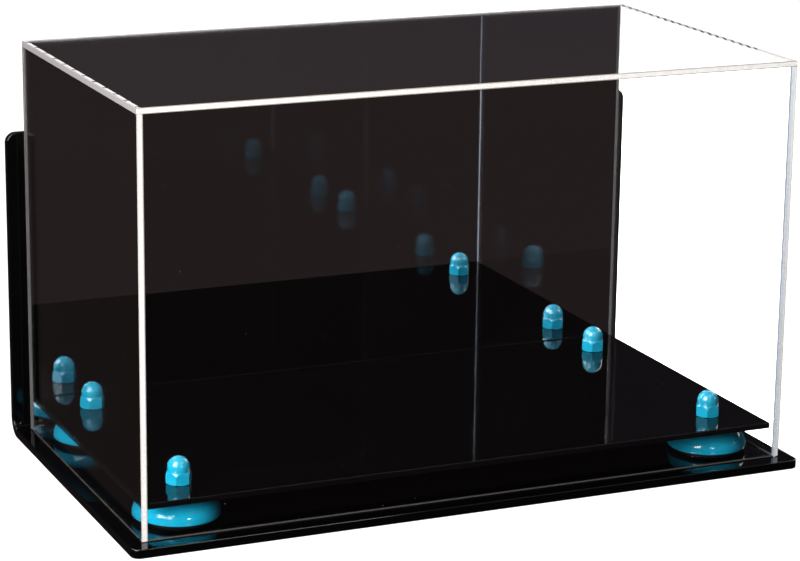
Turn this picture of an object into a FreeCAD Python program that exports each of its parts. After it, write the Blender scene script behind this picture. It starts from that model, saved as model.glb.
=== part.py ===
"""Tabletop or wall display case: clear lift-off cover with a mirror back on a bent black base.

Millimetres. +X to the viewer's right, +Y towards the wall, +Z up.
The origin is at the middle of the base's underside, under the centre of the whole case.
"""
import FreeCAD
import Part

import math
import os

# Cover, measured outside
cover_width = 381.0
cover_depth = 203.2
cover_height = 228.6
panel_thickness = 3.2
mirror_thickness = 3.2
panel_edge_break = 0.4
weld_film = 0.05
cover_rest_gap = 0.1

# Black sheet, heat-bent to a base and a wall plate
base_thickness = 5.0
side_margin = 8.0
front_margin = 10.0
bend_inner_radius = 6.0
bend_clearance = 1.5
wall_plate_height = 174.5
base_corner_radius = 5.0
wall_corner_radius = 6.0
sheet_edge_break = 0.6

# Screw holes in the wall plate
wall_hole_diameter = 5.0
wall_hole_inset = 71.5
wall_hole_drop = 34.5

# Platform that the displayed thing stands on
platform_thickness = 3.2
platform_clearance = 1.3
platform_edge_break = 0.3

# Domed risers and the pads under them
riser_diameter = 45.0
riser_height = 14.0
riser_land = 0.7
riser_foot_radius = 0.8
riser_seat_width = 4.3
riser_edge_margin = 3.5
pad_height = 2.5
pad_setback = 4.0

# Screws that hold pad, riser and platform to the base, one metric size throughout
screw_diameter = 8.0
screw_hole_clearance = 0.2
thread_clearance = 0.1
thread_in_nut = 8.5
screw_tip_chamfer = 0.8
head_rim = 4.0
head_land = 0.4
head_seat_gap = 0.1
base_web = 0.6
socket_across_flats = 5.0
socket_depth = 2.6

# Cap nuts
nut_flat_wall = 2.3
nut_dome_wall = 2.1
nut_hex_height = 6.6
nut_bore_spare = 1.5
nut_crown = 3.2
nut_top_angle = 62.0
nut_foot_angle = 30.0

# Sizes and places that follow from the ones above
wall_gap = bend_inner_radius + bend_clearance
base_width = cover_width + 2 * side_margin
base_depth = front_margin + cover_depth + wall_gap + base_thickness
base_front = -base_depth / 2
base_back = base_depth / 2
wall_face = base_back - base_thickness
base_top = base_thickness
wall_top = base_top + wall_plate_height

cover_front = base_front + front_margin
cover_back = cover_front + cover_depth
cover_right = cover_width / 2
cover_bottom = base_top + cover_rest_gap
cover_top = cover_bottom + cover_height
cover_inner_right = cover_right - panel_thickness
cover_inner_front = cover_front + panel_thickness
cover_inner_back = cover_back - mirror_thickness
cover_ceiling = cover_top - panel_thickness
wall_panel_top = cover_ceiling - weld_film
wall_panel_right = cover_inner_right - weld_film

platform_right = cover_inner_right - platform_clearance
platform_front = cover_inner_front + platform_clearance
platform_back = cover_inner_back - platform_clearance
riser_foot = base_top + pad_height
platform_under = riser_foot + riser_height
platform_top = platform_under + platform_thickness

screw_radius = screw_diameter / 2
screw_hole_radius = screw_radius + screw_hole_clearance
riser_radius = riser_diameter / 2
pad_radius = riser_radius - pad_setback
riser_inset = riser_radius + riser_edge_margin

TINY = 1e-6
RIGHT = FreeCAD.Vector(1, 0, 0)
BACK = FreeCAD.Vector(0, 1, 0)
UP = FreeCAD.Vector(0, 0, 1)
CORNERS = {
    "front_left": (-platform_right + riser_inset, platform_front + riser_inset),
    "front_right": (platform_right - riser_inset, platform_front + riser_inset),
    "back_left": (-platform_right + riser_inset, platform_back - riser_inset),
    "back_right": (platform_right - riser_inset, platform_back - riser_inset),
}


def box(low, high):
    """A box between two opposite corners."""
    size = [b - a for a, b in zip(low, high)]
    return Part.makeBox(*size, FreeCAD.Vector(*low))


def edges_where(shape, test):
    """The edges of a shape whose two end points both pass a test."""
    return [e for e in shape.Edges if all(test(v.Point) for v in e.Vertexes)]


def near(a, b):
    """Whether two sizes are the same but for rounding."""
    return abs(a - b) < TINY


def turned(edges):
    """A solid of revolution about Z from the edges of a closed profile in the XZ plane."""
    face = Part.Face(Part.Wire(edges))
    return face.revolve(FreeCAD.Vector(0, 0, 0), UP, 360)


def at_radius(r, z):
    """A point of a turned profile."""
    return FreeCAD.Vector(r, 0, z)


def turned_outline(points):
    """A solid of revolution from straight runs between profile points."""
    corners = [at_radius(r, z) for r, z in points]
    return turned(Part.makePolygon(corners + corners[:1]).Edges)


def hexagon(across_flats, low, high):
    """A hexagonal prism on the Z axis with two flats facing front and back."""
    corner_radius = across_flats / math.sqrt(3)
    corners = []
    for turn in range(6):
        angle = math.radians(60 * turn)
        corners.append(FreeCAD.Vector(corner_radius * math.cos(angle), corner_radius * math.sin(angle), low))
    face = Part.Face(Part.makePolygon(corners + corners[:1]))
    return face.extrude(UP * (high - low))


def at_corner(shape, corner):
    """A copy of a shape on the screw line of one corner."""
    x, y = CORNERS[corner]
    return shape.translated(FreeCAD.Vector(x, y, 0))


def save(name, shape):
    """Write one piece to its own file, which has to hold one sound solid."""
    if len(shape.Solids) != 1 or not shape.isValid():
        raise ValueError(name + " is not one sound solid")
    solid = shape.Solids[0]
    solid.exportStep("parts/" + name + ".step")
    print(name, "volume", round(solid.Volume, 1))


def bent_profile():
    """The L of the bent sheet, seen from the side, with concentric arcs at the bend."""
    x = -base_width / 2
    bend_y = wall_face - bend_inner_radius
    bend_z = base_top + bend_inner_radius
    outer_radius = bend_inner_radius + base_thickness
    diagonal = math.sqrt(0.5)

    def at(y, z):
        return FreeCAD.Vector(x, y, z)

    def on_bend(radius):
        return at(bend_y + radius * diagonal, bend_z - radius * diagonal)

    underside = Part.makeLine(at(base_front, 0), at(bend_y, 0))
    outer_bend = Part.Arc(at(bend_y, 0), on_bend(outer_radius), at(base_back, bend_z)).toShape()
    wall_back = Part.makeLine(at(base_back, bend_z), at(base_back, wall_top))
    wall_edge = Part.makeLine(at(base_back, wall_top), at(wall_face, wall_top))
    wall_front = Part.makeLine(at(wall_face, wall_top), at(wall_face, bend_z))
    inner_bend = Part.Arc(at(wall_face, bend_z), on_bend(bend_inner_radius), at(bend_y, base_top)).toShape()
    top_face = Part.makeLine(at(bend_y, base_top), at(base_front, base_top))
    front_edge = Part.makeLine(at(base_front, base_top), at(base_front, 0))
    edges = [underside, outer_bend, wall_back, wall_edge, wall_front, inner_bend, top_face, front_edge]
    return Part.Face(Part.Wire(edges))


def round_ends(sheet, radius, on_free_edge):
    """Round the two corners of a free edge of the bent sheet."""
    ends = [e for e in edges_where(sheet, on_free_edge) if near(e.BoundBox.XLength, 0)]
    return sheet.makeFillet(radius, ends)


def on_cut_edge(point):
    """Whether a point lies on the cut edge that runs round the bent sheet."""
    at_side = abs(point.x) > base_width / 2 - TINY
    at_front = point.y < base_front + base_corner_radius + TINY
    at_top = point.z > wall_top - wall_corner_radius - TINY
    return at_side or at_front or at_top


def is_rim(edge):
    """Whether an edge of the bent sheet runs along its outline, not across its thickness or its bend."""
    span = edge.BoundBox
    across = sorted([span.XLength, span.YLength, span.ZLength])
    across_thickness = near(across[1], 0) and near(across[2], base_thickness)
    return not across_thickness and not near(span.XLength, base_width)


def countersink():
    """The cut for a riser screw: a clear hole and the seat of its head."""
    rim_radius = screw_radius + head_rim + head_seat_gap
    seat_top = base_thickness - base_web + head_seat_gap
    return turned_outline([
        (0, -base_thickness),
        (rim_radius, -base_thickness),
        (rim_radius, head_land),
        (screw_hole_radius, seat_top),
        (screw_hole_radius, 2 * base_thickness),
        (0, 2 * base_thickness),
    ])


def make_base_plate():
    """The bent sheet with round free corners, eased edges, screw seats and wall-screw holes."""
    side = base_width / 2
    sheet = bent_profile().extrude(RIGHT * base_width)
    sheet = round_ends(sheet, base_corner_radius, lambda p: near(p.y, base_front))
    sheet = round_ends(sheet, wall_corner_radius, lambda p: near(p.z, wall_top))
    sheet = sheet.makeFillet(sheet_edge_break, [e for e in edges_where(sheet, on_cut_edge) if is_rim(e)])
    for corner in CORNERS:
        sheet = sheet.cut(at_corner(countersink(), corner))
    for hole_x in (-side + wall_hole_inset, side - wall_hole_inset):
        start = FreeCAD.Vector(hole_x, wall_face - base_thickness, wall_top - wall_hole_drop)
        sheet = sheet.cut(Part.makeCylinder(wall_hole_diameter / 2, 3 * base_thickness, start, BACK))
    return sheet


def make_platform():
    """The square-cornered sheet on the risers, a little smaller than the inside of the cover."""
    low = (-platform_right, platform_front, platform_under)
    high = (platform_right, platform_back, platform_top)
    plate = box(low, high)
    plate = plate.makeChamfer(platform_edge_break, edges_where(plate, lambda p: near(p.z, platform_top)))
    hole = Part.makeCylinder(screw_hole_radius, 3 * platform_thickness)
    hole.translate(UP * (platform_under - platform_thickness))
    for corner in CORNERS:
        plate = plate.cut(at_corner(hole, corner))
    return plate


def make_riser():
    """A turned dome: rounded foot, short upright land, elliptical crown and a flat seat on top."""
    seat_radius = screw_hole_radius + riser_seat_width
    foot_edge = riser_radius - riser_foot_radius
    foot_high = riser_foot + riser_foot_radius
    foot_mid = riser_foot_radius * (1 - math.sqrt(0.5))
    crown_low = foot_high + riser_land
    crown_rise = (platform_under - crown_low) / math.sqrt(1 - (seat_radius / riser_radius) ** 2)

    widest = at_radius(riser_radius, crown_low)
    seat_rim = at_radius(seat_radius, platform_under)
    ellipse = Part.Ellipse(widest, at_radius(0, crown_low + crown_rise), at_radius(0, crown_low))
    crown = Part.ArcOfEllipse(ellipse, ellipse.parameter(widest), ellipse.parameter(seat_rim))
    foot = Part.Arc(
        at_radius(foot_edge, riser_foot),
        at_radius(riser_radius - foot_mid, riser_foot + foot_mid),
        at_radius(riser_radius, foot_high),
    )
    return turned([
        Part.makeLine(at_radius(screw_hole_radius, riser_foot), at_radius(foot_edge, riser_foot)),
        foot.toShape(),
        Part.makeLine(at_radius(riser_radius, foot_high), widest),
        crown.toShape(),
        Part.makeLine(seat_rim, at_radius(screw_hole_radius, platform_under)),
        Part.makeLine(at_radius(screw_hole_radius, platform_under), at_radius(screw_hole_radius, riser_foot)),
    ])


def make_pad():
    """The flat ring between a riser and the base."""
    return turned_outline([
        (screw_hole_radius, base_top),
        (pad_radius, base_top),
        (pad_radius, riser_foot),
        (screw_hole_radius, riser_foot),
    ])


def make_screw():
    """A countersunk screw, head flush with the base's underside, with a hexagon socket."""
    head_top = base_thickness - base_web
    tip = platform_top + thread_in_nut
    body = turned_outline([
        (0, 0),
        (screw_radius + head_rim, 0),
        (screw_radius + head_rim, head_land),
        (screw_radius, head_top),
        (screw_radius, tip - screw_tip_chamfer),
        (screw_radius - screw_tip_chamfer, tip),
        (0, tip),
    ])
    return body.cut(hexagon(socket_across_flats, -socket_depth, socket_depth))


def make_cap_nut():
    """A hexagon with chamfered corners under a round dome, with a blind bore from below."""
    bore_radius = screw_radius + thread_clearance
    bore_depth = thread_in_nut + nut_bore_spare
    dome_radius = screw_radius + nut_dome_wall
    dome_centre = bore_depth + nut_crown - math.sqrt(dome_radius ** 2 - bore_radius ** 2)
    across_flats = screw_diameter + 2 * nut_flat_wall
    flat_radius = across_flats / 2
    corner_radius = across_flats / math.sqrt(3)
    top_drop = (corner_radius - flat_radius) * math.tan(math.radians(nut_top_angle))
    foot_rise = (corner_radius - flat_radius) * math.tan(math.radians(nut_foot_angle))
    chamfers = turned_outline([
        (0, 0),
        (flat_radius, 0),
        (corner_radius, foot_rise),
        (corner_radius, nut_hex_height - top_drop),
        (flat_radius, nut_hex_height),
        (0, nut_hex_height),
    ])
    nut = hexagon(across_flats, 0, nut_hex_height).common(chamfers)
    nut = nut.fuse(Part.makeCylinder(dome_radius, dome_centre))
    nut = nut.fuse(Part.makeSphere(dome_radius, FreeCAD.Vector(0, 0, dome_centre)))
    below = Part.makeCylinder(2 * corner_radius, 2 * dome_radius, FreeCAD.Vector(0, 0, -2 * dome_radius))
    nut = nut.cut(below).removeSplitter()
    nut = nut.cut(Part.makeCylinder(bore_radius, bore_depth))
    return nut.translated(UP * platform_top)


def make_panel(low, high, *exposed):
    """A flat sheet of the cover with its exposed outer edges broken, each found by its own test."""
    sheet = box(low, high)
    edges = [edge for test in exposed for edge in edges_where(sheet, test)]
    return sheet.makeChamfer(panel_edge_break, edges)


def make_side_panel(inner_x, outer_x):
    """A side wall, as deep as the cover, so that its upright edges show at front and back."""
    low = (min(inner_x, outer_x), cover_front, cover_bottom)
    high = (max(inner_x, outer_x), cover_back, wall_panel_top)
    return make_panel(
        low,
        high,
        lambda p: near(p.x, outer_x) and near(p.y, cover_front),
        lambda p: near(p.x, outer_x) and near(p.y, cover_back),
        lambda p: near(p.x, outer_x) and near(p.z, cover_bottom),
    )


def make_top_panel():
    """The lid sheet, which covers the top edges of all four walls."""
    low = (-cover_right, cover_front, cover_ceiling)
    high = (cover_right, cover_back, cover_top)
    return make_panel(low, high, lambda p: near(p.z, cover_top))


def make_front_panel():
    """The front wall, welded between the side walls."""
    low = (-wall_panel_right, cover_front, cover_bottom)
    high = (wall_panel_right, cover_inner_front, wall_panel_top)
    return make_panel(low, high, lambda p: near(p.y, cover_front) and near(p.z, cover_bottom))


def make_mirror_panel():
    """The mirrored back wall, welded between the side walls."""
    low = (-wall_panel_right, cover_inner_back, cover_bottom)
    high = (wall_panel_right, cover_back, wall_panel_top)
    return make_panel(low, high, lambda p: near(p.y, cover_back) and near(p.z, cover_bottom))


os.makedirs("parts", exist_ok=True)

save("base_plate", make_base_plate())
save("display_platform", make_platform())
for corner in CORNERS:
    save(corner + "_riser", at_corner(make_riser(), corner))
    save(corner + "_riser_pad", at_corner(make_pad(), corner))
    save(corner + "_riser_screw", at_corner(make_screw(), corner))
    save(corner + "_cap_nut", at_corner(make_cap_nut(), corner))
save("front_panel", make_front_panel())
save("left_panel", make_side_panel(-cover_inner_right, -cover_right))
save("right_panel", make_side_panel(cover_inner_right, cover_right))
save("top_panel", make_top_panel())
save("mirror_panel", make_mirror_panel())
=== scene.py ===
"""Dresses a packed display case: finishes for its sheets, hardware and mirror, and a plain studio."""

import math

import bpy
from mathutils import Matrix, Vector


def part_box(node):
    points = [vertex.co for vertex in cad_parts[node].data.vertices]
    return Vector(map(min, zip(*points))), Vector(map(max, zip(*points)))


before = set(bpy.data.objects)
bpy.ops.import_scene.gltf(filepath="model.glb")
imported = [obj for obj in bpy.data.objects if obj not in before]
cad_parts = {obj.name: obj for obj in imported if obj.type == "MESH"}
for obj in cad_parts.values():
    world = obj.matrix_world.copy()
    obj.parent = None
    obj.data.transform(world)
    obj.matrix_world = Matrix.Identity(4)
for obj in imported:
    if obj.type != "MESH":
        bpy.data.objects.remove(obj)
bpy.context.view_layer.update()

bl_info = {
    "name": "Display Case",
    "version": (1, 0, 0),
    "blender": (4, 5, 0),
    "location": "View3D > Sidebar > Display Case",
    "description": "Finishes a clear display case with a mirror back, and sets it in a studio",
    "category": "Object",
}

MM = 0.001
CORNERS = ("front_left", "front_right", "back_left", "back_right")
ACRYLIC_IOR = 1.49
X, Y, Z = range(3)

# Sockets of the Mix node that mixes two colours
MIX_SHARE = 0
MIX_FROM = 6
MIX_TO = 7
MIX_GIVES = 2

# Lamps: place and size in metres, and power in watts
SOFTBOXES = {
    "left_softbox": ((-1.40, -0.74, 1.12), (1.3, 1.4), 66.0),
    "overhead_softbox": ((0.0, 0.1, 1.5), (2.4, 2.0), 6.0),
    "right_back_softbox": ((1.25, 0.55, 0.75), (0.8, 0.8), 7.0),
    "left_back_softbox": ((-0.55, 1.05, 1.35), (0.7, 0.7), 9.0),
}
# Near lamps that no gloss shows
FILLS = {
    "left_front_fill": ((-0.42, -0.33, 0.13), (0.15, 0.15), 1.3),
    "top_edge_strip": ((0.12, -0.26, 0.29), (0.30, 0.03), 0.12),
}
# Small lamps that only make highlights
HIGHLIGHTS = {
    "high_front_lamp": ((0.16, -0.53, 0.68), (0.2, 0.16), 0.9),
    "low_front_lamp": ((-0.03, -0.97, 0.30), (0.14, 0.14), 1.0),
}


def linear(hex_colour):
    """Linear RGBA of an sRGB colour such as #1A2B3C."""
    channels = [int(hex_colour[i:i + 2], 16) / 255 for i in (1, 3, 5)]
    return [c / 12.92 if c <= 0.04045 else ((c + 0.055) / 1.055) ** 2.4 for c in channels] + [1.0]


def per_metre(size_mm):
    """The texture scale at which one feature of a pattern is this wide."""
    return 1.0 / (size_mm * MM)


def add_node(tree, kind, settings=None, links=None):
    """Adds a node, sets its properties, sets or links its inputs, and gives its outputs."""
    node = tree.nodes.new(kind)
    for name, value in (settings or {}).items():
        setattr(node, name, value)
    for name, value in (links or {}).items():
        if isinstance(value, bpy.types.NodeSocket):
            tree.links.new(value, node.inputs[name])
        else:
            node.inputs[name].default_value = value
    return node.outputs


def new_material(name):
    """An empty node material."""
    material = bpy.data.materials.new(name)
    material.use_nodes = True
    material.node_tree.nodes.clear()
    return material


def dress(material, *nodes):
    """Puts a material in every slot of CAD nodes."""
    for name in nodes:
        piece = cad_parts[name]
        for slot in piece.material_slots:
            slot.material = material


def colour_setting(label, text, hex_colour):
    """A colour that the sidebar can change."""
    return bpy.props.FloatVectorProperty(
        name=label, description=text, subtype="COLOR", size=4, min=0.0, max=1.0,
        default=linear(hex_colour),
    )


def size_setting(label, text, millimetres):
    """A pattern's size in millimetres that the sidebar can change."""
    return bpy.props.FloatProperty(name=label, description=text, default=millimetres, min=0.01)


class SheetSettings(bpy.types.PropertyGroup):
    """Looks of the acrylic sheets."""

    black: colour_setting("Black", "Pigment of the black acrylic", "#030303")
    cut_black: colour_setting("Cut black", "Satin cut edge of the black acrylic", "#020202")
    clear: colour_setting("Clear", "Tint of the clear acrylic", "#FCFDFD")
    # Painted light: sawn edges are painted brightest in their core, as light piped along the sheet lights
    # it, and duller at their borders
    frost: colour_setting("Sawn edge", "Bright core of a sawn clear edge", "#FAF8F5")
    frost_shade: colour_setting("Sawn edge shade", "Duller borders of a sawn clear edge", "#A3988E")
    # Painted shade: the left end of the lid and the ends of the left wall are painted darker, as light
    # falls less on them
    painted_end_shade: colour_setting("Painted end shade", "Left end of the lid, and the ends of the left wall", "#878384")
    glue: colour_setting("Glued joint", "Bubbles in the glued joints of the front panel", "#E6EBF2")
    glue_shade: colour_setting("Glued joint shade", "Solid glue in those joints", "#8397BF")
    # Painted reflection: the dark that a gap in the weld shows is painted into its ticks
    gap: colour_setting("Weld gaps", "Dark ticks where the weld to the lid has gaps", "#1E1B1A")
    silver: colour_setting("Silvering", "Mirror coat of the back panel", "#E3E4E6")
    silver_edge: colour_setting("Silvering border", "Bare strip and sawn edges of the mirror", "#5C5758")
    mirror_paint: colour_setting("Mirror backing", "Paint behind the mirror", "#6F7276")
    mirror_paint_shade: colour_setting("Mirror backing shade", "Thin places in that paint", "#5B5E62")
    dust: colour_setting("Dust", "Specks of dust on the sheets", "#8C8A86")
    # Painted shade: a dark line along the foot of the cover, where the black base shows in the sheet, and
    # a darker back edge on the left wall
    dust_and_painted_shade: colour_setting("Painted shade", "Dirt along the foot of the cover and in its left back edge", "#4A4643")
    film: bpy.props.FloatProperty(
        name="Film", description="Share of the lid's face veiled by fine dust",
        subtype="FACTOR", default=0.012, min=0.0, max=1.0,
    )
    wave: size_setting("Sheet wave (mm)", "Length of the waves in a cast sheet", 55.0)
    smudge: size_setting("Wipe marks (mm)", "Width of faint wipe marks", 34.0)
    speck_cell: size_setting("Speck spacing (mm)", "Space between specks of dust", 6.0)
    hairline: size_setting("Hairlines (mm)", "Space between fine scratches", 2.4)
    saw: size_setting("Saw lines (mm)", "Pitch of the lines on a cut edge, drawn coarse to show", 0.7)
    grain: size_setting("Edge grain (mm)", "Grain of a sawn edge, drawn coarse to show", 0.9)
    tick: size_setting(
        "Weld ticks (mm)", "Pitch of the gaps in the left weld, which is twice that in the right", 17.6)
    roller: size_setting("Roller stipple (mm)", "Stipple of the paint behind the mirror", 2.2)


class HardwareSettings(bpy.types.PropertyGroup):
    """Looks of the risers, nuts, screws and pads."""

    blue: colour_setting("Riser blue", "Pigment of the moulded risers", "#1296B7")
    blue_shade: colour_setting("Riser blue shade", "Flow marks in the risers", "#108EAF")
    enamel: colour_setting("Nut blue", "Enamel of the cap nuts", "#139ABB")
    enamel_shade: colour_setting("Nut blue shade", "Thicker places in the enamel", "#1193B4")
    rubber: colour_setting("Rubber", "Pads under the risers", "#040404")
    rubber_bloom: colour_setting("Rubber bloom", "Pale bloom on the pads", "#0A0909")
    zinc: colour_setting("Zinc", "Plating of the screws", "#BFC3C7")
    zinc_tint: colour_setting("Zinc tint", "Passivated places in the plating", "#B3B6AE")
    flow: size_setting("Flow marks (mm)", "Width of the risers' flow marks", 14.0)
    peel: size_setting("Orange peel (mm)", "Width of the enamel's waves", 1.6)
    rings: size_setting("Turned rings (mm)", "Pitch of tool marks, drawn coarse to show", 0.5)
    rubber_grain: size_setting("Rubber grain (mm)", "Grain of the pads, drawn coarse to show", 0.6)


class StageSettings(bpy.types.PropertyGroup):
    """Camera and studio."""

    place: bpy.props.FloatVectorProperty(
        name="Camera place", description="Where the camera stands", subtype="TRANSLATION",
        unit="LENGTH", default=(-0.61252, -1.38479, 0.50642),
    )
    yaw: bpy.props.FloatProperty(
        name="Yaw", description="Camera's turn to the right", subtype="ANGLE",
        default=math.radians(23.8189),
    )
    pitch: bpy.props.FloatProperty(
        name="Pitch", description="Camera's tilt down", subtype="ANGLE",
        default=math.radians(14.9767),
    )
    roll: bpy.props.FloatProperty(
        name="Roll", description="Camera's lean", subtype="ANGLE", default=math.radians(0.7278),
    )
    lens: bpy.props.FloatProperty(
        name="Lens", description="Focal length in millimetres", unit="CAMERA", default=124.29,
    )
    floor: colour_setting("Floor", "Pale floor", "#F4F4F4")
    floor_bounce: colour_setting("Floor bounce", "Lamp light that the floor gives back", "#3C3C3C")
    surround_low: colour_setting("Low surround", "What gloss mirrors of the floor", "#292222")
    surround: colour_setting("Dark surround", "What gloss mirrors in front", "#0A0808")
    surround_back: colour_setting("Back surround", "What gloss mirrors behind", "#28242B")


def patches(tree, place, size_mm, levels=(0.35, 0.65), gives=(0.0, 1.0), detail=2.0):
    """Random patches of about this size: a noise, spread from these levels to what it gives."""
    noise = add_node(tree, "ShaderNodeTexNoise", links={
        "Vector": place, "Scale": per_metre(size_mm), "Detail": detail})[0]
    return add_node(tree, "ShaderNodeMapRange", links={
        "Value": noise, "From Min": levels[0], "From Max": levels[1],
        "To Min": gives[0], "To Max": gives[1]})[0]


def specks(tree, place, cell_mm):
    """1 inside a few scattered specks of dust, 0 elsewhere."""
    empty_cells, largest_speck = 0.6, 0.03
    cells = add_node(tree, "ShaderNodeTexVoronoi", links={
        "Vector": place, "Scale": per_metre(cell_mm)})
    draw = add_node(tree, "ShaderNodeSeparateXYZ", links={"Vector": cells["Color"]})["X"]
    size = add_node(tree, "ShaderNodeMapRange", links={
        "Value": draw, "From Min": empty_cells, "To Max": largest_speck})[0]
    return add_node(tree, "ShaderNodeMath", {"operation": "LESS_THAN"}, {
        0: cells["Distance"], 1: size})[0]


def cast_wave(tree, sheets, place, height_mm):
    """The normal of a cast sheet with slow waves of this height."""
    swell = add_node(tree, "ShaderNodeTexNoise", links={
        "Vector": place, "Scale": per_metre(sheets.wave), "Detail": 1.0})[0]
    return add_node(tree, "ShaderNodeBump", links={
        "Height": swell, "Strength": 1.0, "Distance": height_mm * MM})[0]


def turned_rings(tree, place, pitch_mm):
    """Rings round the nearest of the four screw lines, from -1 to 1, as a lathe leaves them."""
    front_left = [sum(ends) / 2 for ends in zip(*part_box("front_left_riser_screw"))]
    back_right = [sum(ends) / 2 for ends in zip(*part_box("back_right_riser_screw"))]
    centre = [(a + b) / 2 for a, b in zip(front_left, back_right)]
    reach = [(b - a) / 2 for a, b in zip(front_left, back_right)]
    around = add_node(tree, "ShaderNodeVectorMath", {"operation": "SUBTRACT"}, {0: place, 1: centre})[0]
    folded = add_node(tree, "ShaderNodeVectorMath", {"operation": "ABSOLUTE"}, {0: around})[0]
    local = add_node(tree, "ShaderNodeVectorMath", {"operation": "SUBTRACT"}, {0: folded, 1: reach})[0]
    level = add_node(tree, "ShaderNodeVectorMath", {"operation": "MULTIPLY"}, {0: local, 1: (1, 1, 0)})[0]
    away = add_node(tree, "ShaderNodeVectorMath", {"operation": "LENGTH"}, {0: level})["Value"]
    turns = add_node(tree, "ShaderNodeMath", {"operation": "MULTIPLY"}, {
        0: away, 1: math.tau * per_metre(pitch_mm)})[0]
    return add_node(tree, "ShaderNodeMath", {"operation": "SINE"}, {0: turns})[0]


def polished_black_acrylic(sheets):
    """Cast acrylic sheet, pigmented through: a deep black gloss with a slight wave, faint wipe
    marks and hairlines in the gloss and a little dust. Its cut edges are satin, with saw lines."""
    front_edges, wall_top = -90 * MM, 170 * MM
    satin_roughness, dust_roughness, dust_cover = 0.1, 0.7, 0.1
    hairline_angle, hairline_stretch, saw_stretch = 0.6, 0.02, 0.04
    material = new_material("polished_black_cast_acrylic")
    tree = material.node_tree
    coordinates = add_node(tree, "ShaderNodeTexCoord")
    place = coordinates["Object"]
    y, z = add_node(tree, "ShaderNodeSeparateXYZ", links={"Vector": place})[1:]
    facing_x, facing_y, facing_z = add_node(tree, "ShaderNodeSeparateXYZ", links={
        "Vector": coordinates["Normal"]})

    # Cut edges: the sides, the front, and the top of the wall plate
    sideways = add_node(tree, "ShaderNodeMath", {"operation": "ABSOLUTE"}, {0: facing_x})[0]
    forward = add_node(tree, "ShaderNodeMath", {"operation": "MULTIPLY"}, {0: facing_y, 1: -1.0})[0]
    at_front = add_node(tree, "ShaderNodeMath", {"operation": "LESS_THAN"}, {0: y, 1: front_edges})[0]
    front = add_node(tree, "ShaderNodeMath", {"operation": "MULTIPLY"}, {0: at_front, 1: forward})[0]
    at_top = add_node(tree, "ShaderNodeMath", {"operation": "GREATER_THAN"}, {0: z, 1: wall_top})[0]
    top = add_node(tree, "ShaderNodeMath", {"operation": "MULTIPLY"}, {0: at_top, 1: facing_z})[0]
    rim = add_node(tree, "ShaderNodeMath", {"operation": "MAXIMUM"}, {0: sideways, 1: front})[0]
    most = add_node(tree, "ShaderNodeMath", {"operation": "MAXIMUM"}, {0: rim, 1: top})[0]
    cut = add_node(tree, "ShaderNodeMapRange", links={
        "Value": most, "From Min": 0.75, "From Max": 0.95})[0]

    # The gloss, and what dulls it
    turned = add_node(tree, "ShaderNodeMapping", links={
        "Vector": place, "Rotation": (0.0, 0.0, hairline_angle),
        "Scale": (hairline_stretch, 1.0, 1.0)})[0]
    hairlines = patches(tree, turned, sheets.hairline, levels=(0.68, 0.74), gives=(0.0, 0.03))
    wiped = patches(
        tree, place, sheets.smudge, levels=(0.35, 0.75), gives=(0.01, 0.035), detail=3.0)
    dust = specks(tree, place, sheets.speck_cell)
    polish = add_node(tree, "ShaderNodeMath", {"operation": "ADD"}, {0: hairlines, 1: wiped})[0]
    satin = add_node(tree, "ShaderNodeMath", {"operation": "MULTIPLY"}, {0: cut, 1: satin_roughness})[0]
    matt = add_node(tree, "ShaderNodeMath", {"operation": "MULTIPLY"}, {0: dust, 1: dust_roughness})[0]
    bare = add_node(tree, "ShaderNodeMath", {"operation": "MAXIMUM"}, {0: polish, 1: satin})[0]
    roughness = add_node(tree, "ShaderNodeMath", {"operation": "MAXIMUM"}, {0: bare, 1: matt})[0]
    pigment = add_node(tree, "ShaderNodeMix", {"data_type": "RGBA"}, {
        MIX_SHARE: cut, MIX_FROM: sheets.black, MIX_TO: sheets.cut_black})[MIX_GIVES]
    veil = add_node(tree, "ShaderNodeMath", {"operation": "MULTIPLY"}, {0: dust, 1: dust_cover})[0]
    colour = add_node(tree, "ShaderNodeMix", {"data_type": "RGBA"}, {
        MIX_SHARE: veil, MIX_FROM: pigment, MIX_TO: sheets.dust})[MIX_GIVES]

    # Saw lines stand upright on the edges
    upright = add_node(tree, "ShaderNodeMapping", links={
        "Vector": place, "Scale": (1.0, 1.0, saw_stretch)})[0]
    lines = add_node(tree, "ShaderNodeTexNoise", links={
        "Vector": upright, "Scale": per_metre(sheets.saw)})[0]
    tooth = add_node(tree, "ShaderNodeMath", {"operation": "MULTIPLY"}, {0: lines, 1: cut})[0]
    sawn = add_node(tree, "ShaderNodeBump", links={
        "Height": tooth, "Strength": 1.0, "Distance": 0.02 * MM,
        "Normal": cast_wave(tree, sheets, place, height_mm=0.02)})[0]
    shader = add_node(tree, "ShaderNodeBsdfPrincipled", links={
        "Base Color": colour, "Roughness": roughness, "IOR": ACRYLIC_IOR, "Normal": sawn})[0]
    add_node(tree, "ShaderNodeOutputMaterial", links={"Surface": shader})
    return material


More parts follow.
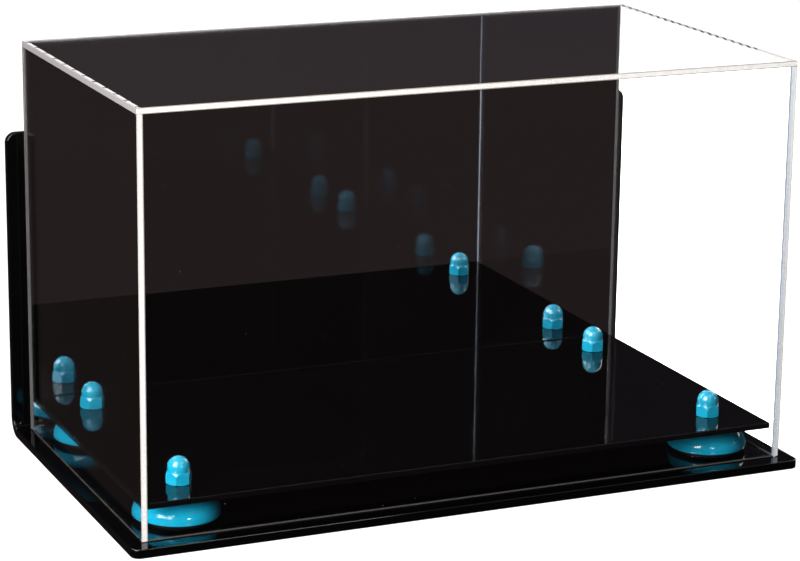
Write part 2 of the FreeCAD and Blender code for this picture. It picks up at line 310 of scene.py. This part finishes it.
def with_weld_gaps(tree, sheets, places, weld, frost):
    """The frost of a weld to the lid, with the slanted ticks where the weld has gaps painted dark as a
    painted reflection
    of the dark that a gap shows: far apart on the left of the case, close together on the right, and none
    towards the front of the right."""
    left_gaps, right_gaps = 0.12, 0.42
    left_slant, right_slant = 0.6, -2.6
    right_from = -62 * MM
    tick = per_metre(sheets.tick)
    right = add_node(tree, "ShaderNodeMath", {"operation": "GREATER_THAN"}, {0: places["X"], 1: 0.0})[0]
    slant = add_node(tree, "ShaderNodeMapRange", links={
        "Value": right, "To Min": left_slant, "To Max": right_slant})[0]
    along = add_node(tree, "ShaderNodeMath", {"operation": "MULTIPLY_ADD"}, {
        0: places["X"], 1: slant, 2: places["Y"]})[0]
    pitch = add_node(tree, "ShaderNodeMapRange", links={
        "Value": right, "To Min": tick, "To Max": 2 * tick})[0]
    steps = add_node(tree, "ShaderNodeMath", {"operation": "MULTIPLY"}, {0: along, 1: pitch})[0]
    step = add_node(tree, "ShaderNodeMath", {"operation": "FRACT"}, {0: steps})[0]
    behind = add_node(tree, "ShaderNodeMath", {"operation": "GREATER_THAN"}, {
        0: places["Y"], 1: right_from})[0]
    far = add_node(tree, "ShaderNodeMath", {"operation": "MULTIPLY"}, {0: right, 1: behind})[0]
    left = add_node(tree, "ShaderNodeMath", {"operation": "SUBTRACT"}, {0: 1.0, 1: right})[0]
    sparse = add_node(tree, "ShaderNodeMath", {"operation": "MULTIPLY"}, {0: left, 1: left_gaps})[0]
    width = add_node(tree, "ShaderNodeMath", {"operation": "MULTIPLY_ADD"}, {
        0: far, 1: right_gaps, 2: sparse})[0]
    ticks = add_node(tree, "ShaderNodeMath", {"operation": "LESS_THAN"}, {0: step, 1: width})[0]
    gaps = add_node(tree, "ShaderNodeMath", {"operation": "MULTIPLY"}, {0: ticks, 1: weld})[0]
    # Painted reflection: the gaps in the weld are painted dark
    return add_node(tree, "ShaderNodeMix", {"data_type": "RGBA"}, {
        MIX_SHARE: gaps, MIX_FROM: frost, MIX_TO: sheets.gap})[MIX_GIVES]


def frost_lid(tree, sheets, places, turned, frost, bright):
    """Frost of the lid: its left end painted darker as shade, and an underside that is frosted where it
    is welded to the tops of the side walls. Gives the colour, and 1 in that weld."""
    skin = 0.5 * MM
    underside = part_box("top_panel")[0][Z]
    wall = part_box("right_panel")[0][X]
    left = add_node(tree, "ShaderNodeMath", {"operation": "LESS_THAN"}, {0: places["X"], 1: 0.0})[0]
    left_end = add_node(tree, "ShaderNodeMath", {"operation": "MULTIPLY"}, {0: turned["X"], 1: left})[0]
    # Painted shade on the lid's left end
    matt_and_shaded = add_node(tree, "ShaderNodeMix", {"data_type": "RGBA"}, {
        MIX_SHARE: left_end, MIX_FROM: frost, MIX_TO: sheets.painted_end_shade})[MIX_GIVES]
    sideways = add_node(tree, "ShaderNodeMath", {"operation": "ABSOLUTE"}, {0: places["X"]})[0]
    over_wall = add_node(tree, "ShaderNodeMath", {"operation": "GREATER_THAN"}, {0: sideways, 1: wall})[0]
    under = add_node(tree, "ShaderNodeMath", {"operation": "LESS_THAN"}, {
        0: places["Z"], 1: underside + skin})[0]
    strip = add_node(tree, "ShaderNodeMath", {"operation": "MULTIPLY"}, {0: over_wall, 1: under})[0]
    weld = add_node(tree, "ShaderNodeMath", {"operation": "MULTIPLY"}, {0: strip, 1: turned["Z"]})[0]
    welded = add_node(tree, "ShaderNodeMix", {"data_type": "RGBA"}, {
        MIX_SHARE: weld, MIX_FROM: matt_and_shaded, MIX_TO: bright})[MIX_GIVES]
    return with_weld_gaps(tree, sheets, places, weld, welded), weld


def frost_walls(tree, sheets, places, turned, frost, grain):
    """Frost of the side walls: cloudy glue along the inside of the right wall's ends, painted shade on
    the ends of the left wall, painted darker still in its back end, and tops that are welded to the lid."""
    glue_half_width = 0.8 * MM
    left_shade_share, back_shade_share = 0.35, 0.85
    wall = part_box("right_panel")[0][X]
    inner = add_node(tree, "ShaderNodeMath", {"operation": "COMPARE"}, {
        0: places["X"], 1: wall + glue_half_width, 2: glue_half_width})[0]
    squeezed = add_node(tree, "ShaderNodeMath", {"operation": "MULTIPLY"}, {0: inner, 1: turned["Y"]})[0]
    glue = add_node(tree, "ShaderNodeMix", {"data_type": "RGBA"}, {
        MIX_SHARE: grain, MIX_FROM: sheets.glue_shade, MIX_TO: sheets.glue})[MIX_GIVES]
    glued = add_node(tree, "ShaderNodeMix", {"data_type": "RGBA"}, {
        MIX_SHARE: squeezed, MIX_FROM: frost, MIX_TO: glue})[MIX_GIVES]
    left = add_node(tree, "ShaderNodeMath", {"operation": "LESS_THAN"}, {0: places["X"], 1: 0.0})[0]
    left_ends = add_node(tree, "ShaderNodeMath", {"operation": "MULTIPLY"}, {0: left, 1: turned["Y"]})[0]
    # Painted shade on the ends of the left wall
    left_shaded = add_node(tree, "ShaderNodeMath", {"operation": "MULTIPLY"}, {
        0: left_ends, 1: left_shade_share})[0]
    matt_and_shaded = add_node(tree, "ShaderNodeMix", {"data_type": "RGBA"}, {
        MIX_SHARE: left_shaded, MIX_FROM: glued, MIX_TO: sheets.painted_end_shade})[MIX_GIVES]
    # Painted shade: the back end of the left wall is painted darker still
    behind = add_node(tree, "ShaderNodeMath", {"operation": "GREATER_THAN"}, {0: places["Y"], 1: 0.0})[0]
    left_back = add_node(tree, "ShaderNodeMath", {"operation": "MULTIPLY"}, {0: left_ends, 1: behind})[0]
    back_shaded = add_node(tree, "ShaderNodeMath", {"operation": "MULTIPLY"}, {0: left_back, 1: back_shade_share})[0]
    left_back_shaded = add_node(tree, "ShaderNodeMix", {"data_type": "RGBA"}, {
        MIX_SHARE: back_shaded, MIX_FROM: matt_and_shaded, MIX_TO: sheets.dust_and_painted_shade})[MIX_GIVES]
    return with_weld_gaps(tree, sheets, places, turned["Z"], left_back_shaded)


def polished_clear_acrylic(sheets, name, axis, sheet, sawn, shade, bright):
    """Cast acrylic sheet with polished faces: it shows what is behind it, with a thin mirror image.
    Its open edges are finely sawn, so they catch the light and show as frosted lines; along the core of
    the sheet they are painted brighter, a painted light for the light piped along the sheet. The welds
    between lid and side walls are frosted too, with ticks in their gaps painted dark as a painted
    reflection, and the joints of the front panel hold a little cloudy glue. A line of painted shade runs
    along the foot of each wall."""
    edge_on, core_share, front_frost = 0.6, 0.72, 0.35
    foot_shade_height = 0.4 * MM
    material = new_material(name)
    tree = material.node_tree
    low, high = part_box(sheet)
    coordinates = add_node(tree, "ShaderNodeTexCoord")
    place, facing = coordinates["Object"], coordinates["Normal"]
    places = add_node(tree, "ShaderNodeSeparateXYZ", links={"Vector": place})
    either_way = add_node(tree, "ShaderNodeVectorMath", {"operation": "ABSOLUTE"}, {0: facing})[0]
    turned = add_node(tree, "ShaderNodeSeparateXYZ", links={"Vector": either_way})

    # Open edges face along the directions in sawn
    outward = add_node(tree, "ShaderNodeVectorMath", {"operation": "MULTIPLY"}, {0: facing, 1: sawn})[0]
    level = add_node(tree, "ShaderNodeVectorMath", {"operation": "LENGTH"}, {0: outward})["Value"]
    edge = add_node(tree, "ShaderNodeMath", {"operation": "GREATER_THAN"}, {0: level, 1: edge_on})[0]

    # Brightness across the thickness of the sheet: painted light, the core of a sawn edge painted
    # brighter as light piped along the sheet lights it
    middle = abs(low[axis] + high[axis]) / 2
    half = (high[axis] - low[axis]) / 2
    across = add_node(tree, "ShaderNodeMath", {"operation": "ABSOLUTE"}, {0: places[axis]})[0]
    in_core = add_node(tree, "ShaderNodeMath", {"operation": "COMPARE"}, {
        0: across, 1: middle, 2: core_share * half})[0]
    grain = patches(tree, place, sheets.grain, gives=(0.7, 1.0))
    core = add_node(tree, "ShaderNodeMath", {"operation": "MULTIPLY"}, {0: in_core, 1: grain})[0]
    frost = add_node(tree, "ShaderNodeMix", {"data_type": "RGBA"}, {
        MIX_SHARE: core, MIX_FROM: shade, MIX_TO: bright})[MIX_GIVES]

    # What lies on the sheet, and painted shade: a film of dust on the lid, and a line of painted shade
    # along the foot of a wall, where the black base shows in the sheet
    if sheet == "top_panel":
        film_or_foot_shade = add_node(tree, "ShaderNodeMapRange", links={
            "Value": turned["Z"], "From Min": 0.9, "To Max": sheets.film})[0]
        frost, weld = frost_lid(tree, sheets, places, turned, frost, bright)
        edge = add_node(tree, "ShaderNodeMath", {"operation": "MAXIMUM"}, {0: edge, 1: weld})[0]
    else:
        film_or_foot_shade = add_node(tree, "ShaderNodeMath", {"operation": "LESS_THAN"}, {
            0: places["Z"], 1: low[Z] + foot_shade_height})[0]
        frost = add_node(tree, "ShaderNodeMix", {"data_type": "RGBA"}, {
            MIX_SHARE: film_or_foot_shade, MIX_FROM: frost, MIX_TO: sheets.dust_and_painted_shade})[MIX_GIVES]
    if sheet == "front_panel":
        edge = add_node(tree, "ShaderNodeMath", {"operation": "MULTIPLY"}, {0: edge, 1: front_frost})[0]
    if sheet == "right_panel":
        frost = frost_walls(tree, sheets, places, turned, frost, grain)
    dust = specks(tree, place, sheets.speck_cell)
    # Dust specks, the lid's film of dust, and the painted shade along the foot of a wall
    dust_and_painted_shade = add_node(tree, "ShaderNodeMath", {"operation": "MAXIMUM"}, {0: dust, 1: film_or_foot_shade})[0]
    matt_and_shaded = add_node(tree, "ShaderNodeMath", {"operation": "MAXIMUM"}, {0: edge, 1: dust_and_painted_shade})[0]

    frosted = add_node(tree, "ShaderNodeBsdfPrincipled", links={
        "Base Color": frost, "Roughness": 0.6, "Specular IOR Level": 0.0})[0]
    faces = add_node(tree, "ShaderNodeBsdfPrincipled", links={
        "Base Color": sheets.clear, "Roughness": 0.0, "IOR": ACRYLIC_IOR,
        "Transmission Weight": 1.0})[0]
    both = add_node(tree, "ShaderNodeMixShader", links={0: matt_and_shaded, 1: faces, 2: frosted})[0]

    # Light that falls on things behind the sheet goes straight through it
    path = add_node(tree, "ShaderNodeLightPath")
    open_film = add_node(tree, "ShaderNodeBsdfTransparent", links={"Color": sheets.clear})[0]
    lamp_lit = add_node(tree, "ShaderNodeMixShader", links={
        0: path["Is Shadow Ray"], 1: both, 2: open_film})[0]
    all_lit = add_node(tree, "ShaderNodeMixShader", links={
        0: path["Is Diffuse Ray"], 1: lamp_lit, 2: open_film})[0]
    add_node(tree, "ShaderNodeOutputMaterial", links={"Surface": all_lit})
    return material


def mirrored_acrylic(sheets):
    """Acrylic mirror: silvered to the front with a thin bare strip along its edges, and behind it
    a grey paint with the stipple of a roller. Its edges are sawn."""
    left_border, right_border, top_border = 0.4 * MM, 1.9 * MM, 0.5 * MM
    tilted, square = 0.8, 0.95
    paint_roughness = 0.45
    material = new_material("mirrored_acrylic")
    tree = material.node_tree
    low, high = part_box("mirror_panel")
    coordinates = add_node(tree, "ShaderNodeTexCoord")
    place = coordinates["Object"]
    places = add_node(tree, "ShaderNodeSeparateXYZ", links={"Vector": place})
    facing = add_node(tree, "ShaderNodeSeparateXYZ", links={"Vector": coordinates["Normal"]})["Y"]
    front = add_node(tree, "ShaderNodeMapRange", links={
        "Value": facing, "From Min": -tilted, "From Max": -square})[0]
    left, right = low[X] + left_border, high[X] - right_border
    inside = add_node(tree, "ShaderNodeMath", {"operation": "COMPARE"}, {
        0: places["X"], 1: (left + right) / 2, 2: (right - left) / 2})[0]
    below = add_node(tree, "ShaderNodeMath", {"operation": "LESS_THAN"}, {
        0: places["Z"], 1: high[Z] - top_border})[0]
    within = add_node(tree, "ShaderNodeMath", {"operation": "MULTIPLY"}, {0: inside, 1: below})[0]
    silvered = add_node(tree, "ShaderNodeMath", {"operation": "MULTIPLY"}, {0: front, 1: within})[0]
    unsilvered = add_node(tree, "ShaderNodeMath", {"operation": "SUBTRACT"}, {0: 1.0, 1: silvered})[0]

    stipple = add_node(tree, "ShaderNodeTexNoise", links={
        "Vector": place, "Scale": per_metre(sheets.roller), "Detail": 3.0})[0]
    thick = add_node(tree, "ShaderNodeMapRange", links={
        "Value": stipple, "From Min": 0.35, "From Max": 0.65})[0]
    paint = add_node(tree, "ShaderNodeMix", {"data_type": "RGBA"}, {
        MIX_SHARE: thick, MIX_FROM: sheets.mirror_paint_shade, MIX_TO: sheets.mirror_paint})[MIX_GIVES]
    back = add_node(tree, "ShaderNodeMapRange", links={
        "Value": facing, "From Min": tilted, "From Max": square})[0]
    bare = add_node(tree, "ShaderNodeMix", {"data_type": "RGBA"}, {
        MIX_SHARE: back, MIX_FROM: sheets.silver_edge, MIX_TO: paint})[MIX_GIVES]
    colour = add_node(tree, "ShaderNodeMix", {"data_type": "RGBA"}, {
        MIX_SHARE: silvered, MIX_FROM: bare, MIX_TO: sheets.silver})[MIX_GIVES]
    roughness = add_node(tree, "ShaderNodeMath", {"operation": "MULTIPLY"}, {
        0: unsilvered, 1: paint_roughness})[0]
    nap = add_node(tree, "ShaderNodeMath", {"operation": "MULTIPLY"}, {0: stipple, 1: unsilvered})[0]
    rolled = add_node(tree, "ShaderNodeBump", links={
        "Height": nap, "Strength": 1.0, "Distance": 0.06 * MM,
        "Normal": cast_wave(tree, sheets, place, height_mm=0.01)})[0]
    shader = add_node(tree, "ShaderNodeBsdfPrincipled", links={
        "Base Color": colour, "Metallic": silvered, "Roughness": roughness, "Normal": rolled})[0]
    add_node(tree, "ShaderNodeOutputMaterial", links={"Surface": shader})
    return material


def moulded_gloss_plastic(hardware):
    """Injection-moulded plastic with the colour through it: glossy, with flow marks in the colour,
    faint rings from the turned mould and a parting line above the foot."""
    parting_height, parting_half_width = 1.5 * MM, 0.08 * MM
    material = new_material("moulded_gloss_blue_plastic")
    tree = material.node_tree
    place = add_node(tree, "ShaderNodeTexCoord")["Object"]
    height = add_node(tree, "ShaderNodeSeparateXYZ", links={"Vector": place})["Z"]
    flow = patches(tree, place, hardware.flow, detail=3.0)
    colour = add_node(tree, "ShaderNodeMix", {"data_type": "RGBA"}, {
        MIX_SHARE: flow, MIX_FROM: hardware.blue_shade, MIX_TO: hardware.blue})[MIX_GIVES]
    roughness = add_node(tree, "ShaderNodeMapRange", links={
        "Value": flow, "To Min": 0.07, "To Max": 0.11})[0]

    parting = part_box("front_left_riser")[0][Z] + parting_height
    line = add_node(tree, "ShaderNodeMath", {"operation": "COMPARE"}, {
        0: height, 1: parting, 2: parting_half_width})[0]
    tooled = add_node(tree, "ShaderNodeBump", links={
        "Height": turned_rings(tree, place, hardware.rings), "Strength": 1.0,
        "Distance": 0.0004 * MM})[0]
    seam = add_node(tree, "ShaderNodeBump", links={
        "Height": line, "Strength": 1.0, "Distance": 0.04 * MM, "Normal": tooled})[0]
    shader = add_node(tree, "ShaderNodeBsdfPrincipled", links={
        "Base Color": colour, "Roughness": roughness, "IOR": 1.58, "Normal": seam})[0]
    add_node(tree, "ShaderNodeOutputMaterial", links={"Surface": shader})
    return material


def gloss_enamel(hardware):
    """Baked enamel on steel: a soft sheen under a clear gloss, with a fine orange peel, an uneven
    coat, and edges that the coat has rounded."""
    material = new_material("baked_gloss_blue_enamel")
    tree = material.node_tree
    place = add_node(tree, "ShaderNodeTexCoord")["Object"]
    peel = add_node(tree, "ShaderNodeTexNoise", links={
        "Vector": place, "Scale": per_metre(hardware.peel), "Detail": 1.0})[0]
    coat = patches(tree, place, 3.0 * hardware.peel)
    colour = add_node(tree, "ShaderNodeMix", {"data_type": "RGBA"}, {
        MIX_SHARE: coat, MIX_FROM: hardware.enamel_shade, MIX_TO: hardware.enamel})[MIX_GIVES]
    roughness = add_node(tree, "ShaderNodeMapRange", links={
        "Value": coat, "To Min": 0.2, "To Max": 0.26})[0]
    flooded = add_node(tree, "ShaderNodeBevel", {"samples": 6}, {"Radius": 0.35 * MM})[0]
    bump = add_node(tree, "ShaderNodeBump", links={
        "Height": peel, "Strength": 1.0, "Distance": 0.01 * MM, "Normal": flooded})[0]
    shader = add_node(tree, "ShaderNodeBsdfPrincipled", links={
        "Base Color": colour, "Roughness": roughness, "IOR": 1.55, "Normal": bump,
        "Coat Weight": 1.0, "Coat Roughness": 0.05})[0]
    add_node(tree, "ShaderNodeOutputMaterial", links={"Surface": shader})
    return material


def moulded_rubber(hardware):
    """Moulded rubber: matt and dark, with a fine grain and a pale bloom."""
    material = new_material("moulded_black_rubber")
    tree = material.node_tree
    place = add_node(tree, "ShaderNodeTexCoord")["Object"]
    grain = add_node(tree, "ShaderNodeTexNoise", links={
        "Vector": place, "Scale": per_metre(hardware.rubber_grain)})[0]
    bloom = patches(tree, place, 12.0 * hardware.rubber_grain, levels=(0.45, 0.7), detail=4.0)
    colour = add_node(tree, "ShaderNodeMix", {"data_type": "RGBA"}, {
        MIX_SHARE: bloom, MIX_FROM: hardware.rubber, MIX_TO: hardware.rubber_bloom})[MIX_GIVES]
    roughness = add_node(tree, "ShaderNodeMapRange", links={
        "Value": grain, "From Min": 0.3, "From Max": 0.7, "To Min": 0.6, "To Max": 0.8})[0]
    bump = add_node(tree, "ShaderNodeBump", links={
        "Height": grain, "Strength": 1.0, "Distance": 0.05 * MM})[0]
    shader = add_node(tree, "ShaderNodeBsdfPrincipled", links={
        "Base Color": colour, "Roughness": roughness, "Specular IOR Level": 0.2, "Normal": bump})[0]
    add_node(tree, "ShaderNodeOutputMaterial", links={"Surface": shader})
    return material


def zinc_plated_steel(hardware):
    """Zinc-plated steel: a soft grey metal shine over turned rings, with a passivated tint."""
    material = new_material("zinc_plated_steel")
    tree = material.node_tree
    place = add_node(tree, "ShaderNodeTexCoord")["Object"]
    tint = patches(tree, place, 6.0 * hardware.rings, levels=(0.4, 0.65), detail=3.0)
    colour = add_node(tree, "ShaderNodeMix", {"data_type": "RGBA"}, {
        MIX_SHARE: tint, MIX_FROM: hardware.zinc, MIX_TO: hardware.zinc_tint})[MIX_GIVES]
    roughness = add_node(tree, "ShaderNodeMapRange", links={
        "Value": tint, "To Min": 0.26, "To Max": 0.4})[0]
    bump = add_node(tree, "ShaderNodeBump", links={
        "Height": turned_rings(tree, place, hardware.rings), "Strength": 1.0,
        "Distance": 0.004 * MM})[0]
    shader = add_node(tree, "ShaderNodeBsdfPrincipled", links={
        "Base Color": colour, "Metallic": 1.0, "Roughness": roughness, "Normal": bump})[0]
    add_node(tree, "ShaderNodeOutputMaterial", links={"Surface": shader})
    return material


class DISPLAYCASE_OT_black_sheets(bpy.types.Operator):
    """Finish the base plate and the platform"""

    bl_idname = "display_case.black_sheets"
    bl_label = "Black Sheets"

    def execute(self, context):
        dress(polished_black_acrylic(context.scene.case_sheets), "base_plate", "display_platform")
        return {"FINISHED"}


class DISPLAYCASE_OT_clear_cover(bpy.types.Operator):
    """Finish the clear panels of the cover"""

    bl_idname = "display_case.clear_cover"
    bl_label = "Clear Cover"

    def execute(self, context):
        sheets = context.scene.case_sheets
        # The front panel's sawn ends run from the glue shade at their borders to the glue tone in their
        # painted bright core
        front = polished_clear_acrylic(
            sheets, "polished_clear_acrylic_front", Y, "front_panel", (1, 0, 0),
            sheets.glue_shade, sheets.glue)
        sides = polished_clear_acrylic(
            sheets, "polished_clear_acrylic_sides", X, "right_panel", (0, 1, 1),
            sheets.frost_shade, sheets.frost)
        lid = polished_clear_acrylic(
            sheets, "polished_clear_acrylic_lid", Z, "top_panel", (1, 1, 0),
            sheets.frost_shade, sheets.frost)
        dress(front, "front_panel")
        dress(sides, "left_panel", "right_panel")
        dress(lid, "top_panel")
        return {"FINISHED"}


class DISPLAYCASE_OT_mirror(bpy.types.Operator):
    """Finish the mirror panel"""

    bl_idname = "display_case.mirror"
    bl_label = "Mirror"

    def execute(self, context):
        dress(mirrored_acrylic(context.scene.case_sheets), "mirror_panel")
        return {"FINISHED"}


class DISPLAYCASE_OT_risers(bpy.types.Operator):
    """Finish the risers and their pads"""

    bl_idname = "display_case.risers"
    bl_label = "Risers"

    def execute(self, context):
        hardware = context.scene.case_hardware
        dress(moulded_gloss_plastic(hardware), *(corner + "_riser" for corner in CORNERS))
        dress(moulded_rubber(hardware), *(corner + "_riser_pad" for corner in CORNERS))
        return {"FINISHED"}


class DISPLAYCASE_OT_fixings(bpy.types.Operator):
    """Finish the cap nuts and the screws"""

    bl_idname = "display_case.fixings"
    bl_label = "Nuts and Screws"

    def execute(self, context):
        hardware = context.scene.case_hardware
        dress(gloss_enamel(hardware), *(corner + "_cap_nut" for corner in CORNERS))
        dress(zinc_plated_steel(hardware), *(corner + "_riser_screw" for corner in CORNERS))
        return {"FINISHED"}


def mirrored_only(tree):
    """1 for what is seen in a gloss or a mirror, 0 for what is seen directly or lights a surface."""
    path = add_node(tree, "ShaderNodeLightPath")
    glossy = add_node(tree, "ShaderNodeMath", {"operation": "GREATER_THAN"}, {
        0: path["Glossy Depth"], 1: 0.5})[0]
    direct = add_node(tree, "ShaderNodeMath", {"operation": "LESS_THAN"}, {
        0: path["Diffuse Depth"], 1: 0.5})[0]
    return add_node(tree, "ShaderNodeMath", {"operation": "MULTIPLY"}, {0: glossy, 1: direct})[0]


def studio_white(tree, seen, lighting):
    """Brightness of the white studio: as it is seen, made up for the loss in each clear face that it
    is seen through, and as it lights a surface."""
    gain_per_face = 0.6
    path = add_node(tree, "ShaderNodeLightPath")
    made_up = add_node(tree, "ShaderNodeMath", {"operation": "MULTIPLY_ADD"}, {
        0: path["Transmission Depth"], 1: gain_per_face * seen, 2: seen})[0]
    return add_node(tree, "ShaderNodeMapRange", links={
        "Value": path["Diffuse Depth"], "To Min": made_up, "To Max": lighting})[0]


class DISPLAYCASE_OT_stage(bpy.types.Operator):
    """Add the floor, the studio light and the camera"""

    bl_idname = "display_case.stage"
    bl_label = "Stage"

    def execute(self, context):
        scene = context.scene
        stage = scene.case_stage
        scene.view_settings.view_transform = "Standard"
        scene.cycles.max_bounces = 24
        scene.cycles.glossy_bounces = 10
        scene.cycles.transmission_bounces = 24
        scene.cycles.transparent_max_bounces = 24
        self.add_camera(scene, stage)
        self.add_floor(stage)
        self.light_world(scene, stage)
        for name, lamp in SOFTBOXES.items():
            self.add_lamp(name, *lamp)
        for name, lamp in FILLS.items():
            fill = self.add_lamp(name, *lamp)
            fill.visible_glossy = False
            fill.visible_transmission = False
        for name, lamp in HIGHLIGHTS.items():
            highlight = self.add_lamp(name, *lamp)
            highlight.visible_diffuse = False
        return {"FINISHED"}

    def add_camera(self, scene, stage):
        """Stands the camera where the photo was taken from."""
        bpy.ops.object.camera_add()
        camera = bpy.context.object
        camera.name = "photo_camera"
        camera.data.lens = stage.lens
        camera.data.sensor_width = 36.0
        camera.matrix_world = (
            Matrix.Translation(stage.place)
            @ Matrix.Rotation(-stage.yaw, 4, "Z")
            @ Matrix.Rotation(math.pi / 2 - stage.pitch, 4, "X")
            @ Matrix.Rotation(stage.roll, 4, "Z")
        )
        scene.camera = camera

    def add_floor(self, stage):
        """Lays a matt pale floor. Gloss mirrors it dark, but for a pale patch behind the wall plate."""
        patch_side, patch_core = 0.24, 0.16
        patch_start, patch_full = 0.15, 1.0
        bpy.ops.mesh.primitive_circle_add(
            vertices=96, radius=6.0, fill_type="NGON", location=(0, 0, -0.1 * MM))
        floor = bpy.context.object
        floor.name = "studio_floor"
        material = new_material("matt_pale_floor")
        tree = material.node_tree
        pale = add_node(tree, "ShaderNodeBsdfDiffuse", links={"Color": stage.floor_bounce})[0]
        glow = add_node(tree, "ShaderNodeEmission", links={
            "Color": stage.floor, "Strength": studio_white(tree, seen=1.3, lighting=0.05)})[0]
        lit = add_node(tree, "ShaderNodeAddShader", links={0: pale, 1: glow})[0]
        place = add_node(tree, "ShaderNodeTexCoord")["Object"]
        x, y = add_node(tree, "ShaderNodeSeparateXYZ", links={"Vector": place})[:2]
        sideways = add_node(tree, "ShaderNodeMath", {"operation": "ABSOLUTE"}, {0: x})[0]
        near = add_node(tree, "ShaderNodeMapRange", links={
            "Value": sideways, "From Min": patch_side, "From Max": patch_core})[0]
        behind = add_node(tree, "ShaderNodeMapRange", links={
            "Value": y, "From Min": patch_start, "From Max": patch_full})[0]
        patch = add_node(tree, "ShaderNodeMath", {"operation": "MULTIPLY"}, {0: near, 1: behind})[0]
        mirrored = add_node(tree, "ShaderNodeMix", {"data_type": "RGBA"}, {
            MIX_SHARE: patch, MIX_FROM: stage.surround_low, MIX_TO: stage.floor})[MIX_GIVES]
        image = add_node(tree, "ShaderNodeEmission", links={"Color": mirrored})[0]
        both = add_node(tree, "ShaderNodeMixShader", links={0: mirrored_only(tree), 1: lit, 2: image})[0]
        add_node(tree, "ShaderNodeOutputMaterial", links={"Surface": both})
        floor.data.materials.append(material)

    def light_world(self, scene, stage):
        """Surrounds the case with a white studio that gloss mirrors dark."""
        world = bpy.data.worlds.new("soft_studio")
        world.use_nodes = True
        world.cycles.sampling_method = "NONE"
        scene.world = world
        tree = world.node_tree
        tree.nodes.clear()
        way = add_node(tree, "ShaderNodeTexCoord")["Generated"]
        back = add_node(tree, "ShaderNodeSeparateXYZ", links={"Vector": way})["Y"]
        behind = add_node(tree, "ShaderNodeMapRange", links={
            "Value": back, "From Min": 0.1, "From Max": 0.6})[0]
        dark = add_node(tree, "ShaderNodeMix", {"data_type": "RGBA"}, {
            MIX_SHARE: behind, MIX_FROM: stage.surround, MIX_TO: stage.surround_back})[MIX_GIVES]
        white = add_node(tree, "ShaderNodeBackground", links={
            "Color": (1, 1, 1, 1), "Strength": studio_white(tree, seen=1.4, lighting=0.05)})[0]
        gloss = add_node(tree, "ShaderNodeBackground", links={"Color": dark, "Strength": 1.0})[0]
        both = add_node(tree, "ShaderNodeMixShader", links={
            0: mirrored_only(tree), 1: white, 2: gloss})[0]
        add_node(tree, "ShaderNodeOutputWorld", links={"Surface": both})

    def add_lamp(self, name, place, size, power):
        """Adds a softbox that faces the foot of the case and that the camera doesn't see."""
        bpy.ops.object.light_add(type="AREA", location=place)
        lamp = bpy.context.object
        lamp.name = name
        lamp.data.shape = "RECTANGLE"
        lamp.data.size, lamp.data.size_y = size
        lamp.data.energy = power
        lamp.visible_camera = False
        way = -lamp.location
        lamp.rotation_euler = way.to_track_quat("-Z", "Y").to_euler()
        return lamp


class DISPLAYCASE_PT_sidebar(bpy.types.Panel):
    """Lists the settings, and the steps that dress the case"""

    bl_label = "Display Case"
    bl_space_type = "VIEW_3D"
    bl_region_type = "UI"
    bl_category = "Display Case"

    def draw(self, context):
        for group in SETTINGS:
            settings = getattr(context.scene, group)
            box = self.layout.box()
            for name in settings.__annotations__:
                box.prop(settings, name)
        for step in STEPS:
            self.layout.operator(step.bl_idname)


STEPS = (
    DISPLAYCASE_OT_black_sheets,
    DISPLAYCASE_OT_clear_cover,
    DISPLAYCASE_OT_mirror,
    DISPLAYCASE_OT_risers,
    DISPLAYCASE_OT_fixings,
    DISPLAYCASE_OT_stage,
)
SETTINGS = {
    "case_sheets": SheetSettings,
    "case_hardware": HardwareSettings,
    "case_stage": StageSettings,
}


def register():
    """Adds the settings, the steps and the panel to Blender."""
    for name, group in SETTINGS.items():
        bpy.utils.register_class(group)
        setattr(bpy.types.Scene, name, bpy.props.PointerProperty(type=group))
    for step in STEPS:
        bpy.utils.register_class(step)
    bpy.utils.register_class(DISPLAYCASE_PT_sidebar)


def unregister():
    """Takes the panel, the steps and the settings out of Blender."""
    bpy.utils.unregister_class(DISPLAYCASE_PT_sidebar)
    for step in reversed(STEPS):
        bpy.utils.unregister_class(step)
    for name, group in SETTINGS.items():
        delattr(bpy.types.Scene, name)
        bpy.utils.unregister_class(group)


def main():
    """Dresses the case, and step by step."""
    register()
    bpy.ops.object.select_all(action="DESELECT")
    bpy.ops.display_case.black_sheets()
    bpy.ops.display_case.clear_cover()
    bpy.ops.display_case.mirror()
    bpy.ops.display_case.risers()
    bpy.ops.display_case.fixings()
    bpy.ops.display_case.stage()


if __name__ == "__main__":
    main()
